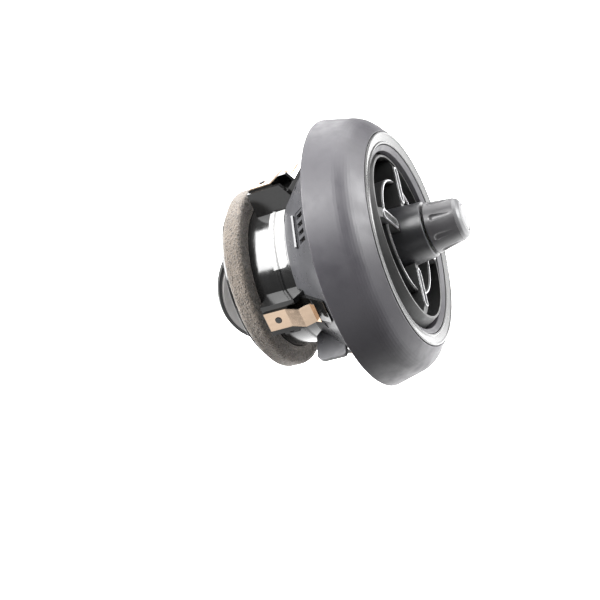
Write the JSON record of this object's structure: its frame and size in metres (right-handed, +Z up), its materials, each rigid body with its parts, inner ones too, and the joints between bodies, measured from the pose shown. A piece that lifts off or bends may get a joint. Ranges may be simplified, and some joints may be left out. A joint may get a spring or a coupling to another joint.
{
  "type": "dashboard air vent",
  "caption": "Round swivelling air vent with a knob on a centre post, spoke vanes, a clip-in duct barrel with foam seal and folding shut-off wings",
  "frame": {"origin": "swivel centre of the nozzle, on the vent's axis in the plane of the bezel's rear rim", "axes": "+Y runs rearward along the vent's axis into the duct, +Z is up, the user looks from -Y"},
  "size_m": [0.0958, 0.0904, 0.0958],
  "materials": {
    "bezel_paint": "soft-touch dark grey paint",
    "trim_ring_paint": "satin lighter grey paint",
    "black_rubber": "matt rubber",
    "housing_grey": "satin moulded plastic",
    "housing_dark": "satin moulded plastic",
    "gloss_black": "polished moulded plastic",
    "clip_metal": "pale gold passivated spring metal",
    "foam": "open-cell foam",
    "label_white": "blank paper label",
    "natural_pom": "natural acetal",
    "steel": "bright steel",
    "nozzle_black": "satin black",
    "silver_trim": "satin silver",
    "post_grey": "satin dark grey paint",
    "knob_grey": "satin dark grey paint",
    "cap_silver": "satin silver-grey paint",
    "wing_grey": "satin moulded plastic"
  },
  "bodies": {
    "housing": {"bezel_ring": "bezel_paint", "face_ring": "trim_ring_paint", "throat_ring": "bezel_paint", "swivel_seal": "black_rubber", "collar": "housing_grey", "barrel": "gloss_black", "spring_clips": "clip_metal", "foam_seal": "foam", "type_label": "label_white", "spider": "housing_dark", "shaft_bush": "natural_pom", "wing_axle": "steel"},
    "gimbal": {"cardan_ring": "housing_dark", "pan_pins": "steel"},
    "nozzle": {"nozzle_shell": "nozzle_black", "vane_cross": "nozzle_black", "ring_vane": "nozzle_black", "spoke_trims": "silver_trim", "ring_trims": "silver_trim", "post_sleeve": "post_grey", "post_bush": "natural_pom", "tilt_pins": "steel"},
    "knob": {"knob_grip": "knob_grey", "knob_cap": "cap_silver", "knob_screw": "steel", "front_shaft": "steel", "drive_pin": "steel"},
    "drive": {"rear_shaft": "natural_pom", "bevel_pinion": "natural_pom"},
    "shutter_a": {"wing_a": "wing_grey", "wing_rim_a": "black_rubber", "wing_gear_a": "natural_pom"},
    "shutter_b": {"wing_b": "wing_grey", "wing_rim_b": "black_rubber", "wing_gear_b": "natural_pom"}
  },
  "joints": [
    {"name": "nozzle_pan", "type": "hinge", "parent": "housing", "child": "gimbal", "pos_m": [0, 0, 0], "axis": [0, 0, 1], "range_deg": [-17.8, 10.2]},
    {"name": "nozzle_tilt", "type": "hinge", "parent": "gimbal", "child": "nozzle", "pos_m": [0, 0, 0], "axis": [0.9978, 0.0663, 0], "range_deg": [-12.4, 15.6]},
    {"name": "knob_turn", "type": "hinge", "parent": "nozzle", "child": "knob", "pos_m": [0, 0, 0], "axis": [-0.0662, 0.9974, -0.0279], "range_deg": [-51.5, 28.5]},
    {"name": "drive_turn", "type": "hinge", "parent": "housing", "child": "drive", "pos_m": [0, 0, 0], "axis": [0, 1, 0], "range_deg": [-51.5, 28.5]},
    {"name": "shutter_a_turn", "type": "hinge", "parent": "housing", "child": "shutter_a", "pos_m": [0, 0.0332, 0], "axis": [0.225, 0, -0.9744], "range_deg": [-51.5, 28.5]},
    {"name": "shutter_b_turn", "type": "hinge", "parent": "housing", "child": "shutter_b", "pos_m": [0, 0.0332, 0], "axis": [0.225, 0, -0.9744], "range_deg": [-28.5, 51.5]}
  ],
  "couplings": [
    {"joint": "drive_turn", "follows": "knob_turn", "ratio": 1},
    {"joint": "shutter_a_turn", "follows": "knob_turn", "ratio": 1},
    {"joint": "shutter_b_turn", "follows": "knob_turn", "ratio": -1}
  ]
}
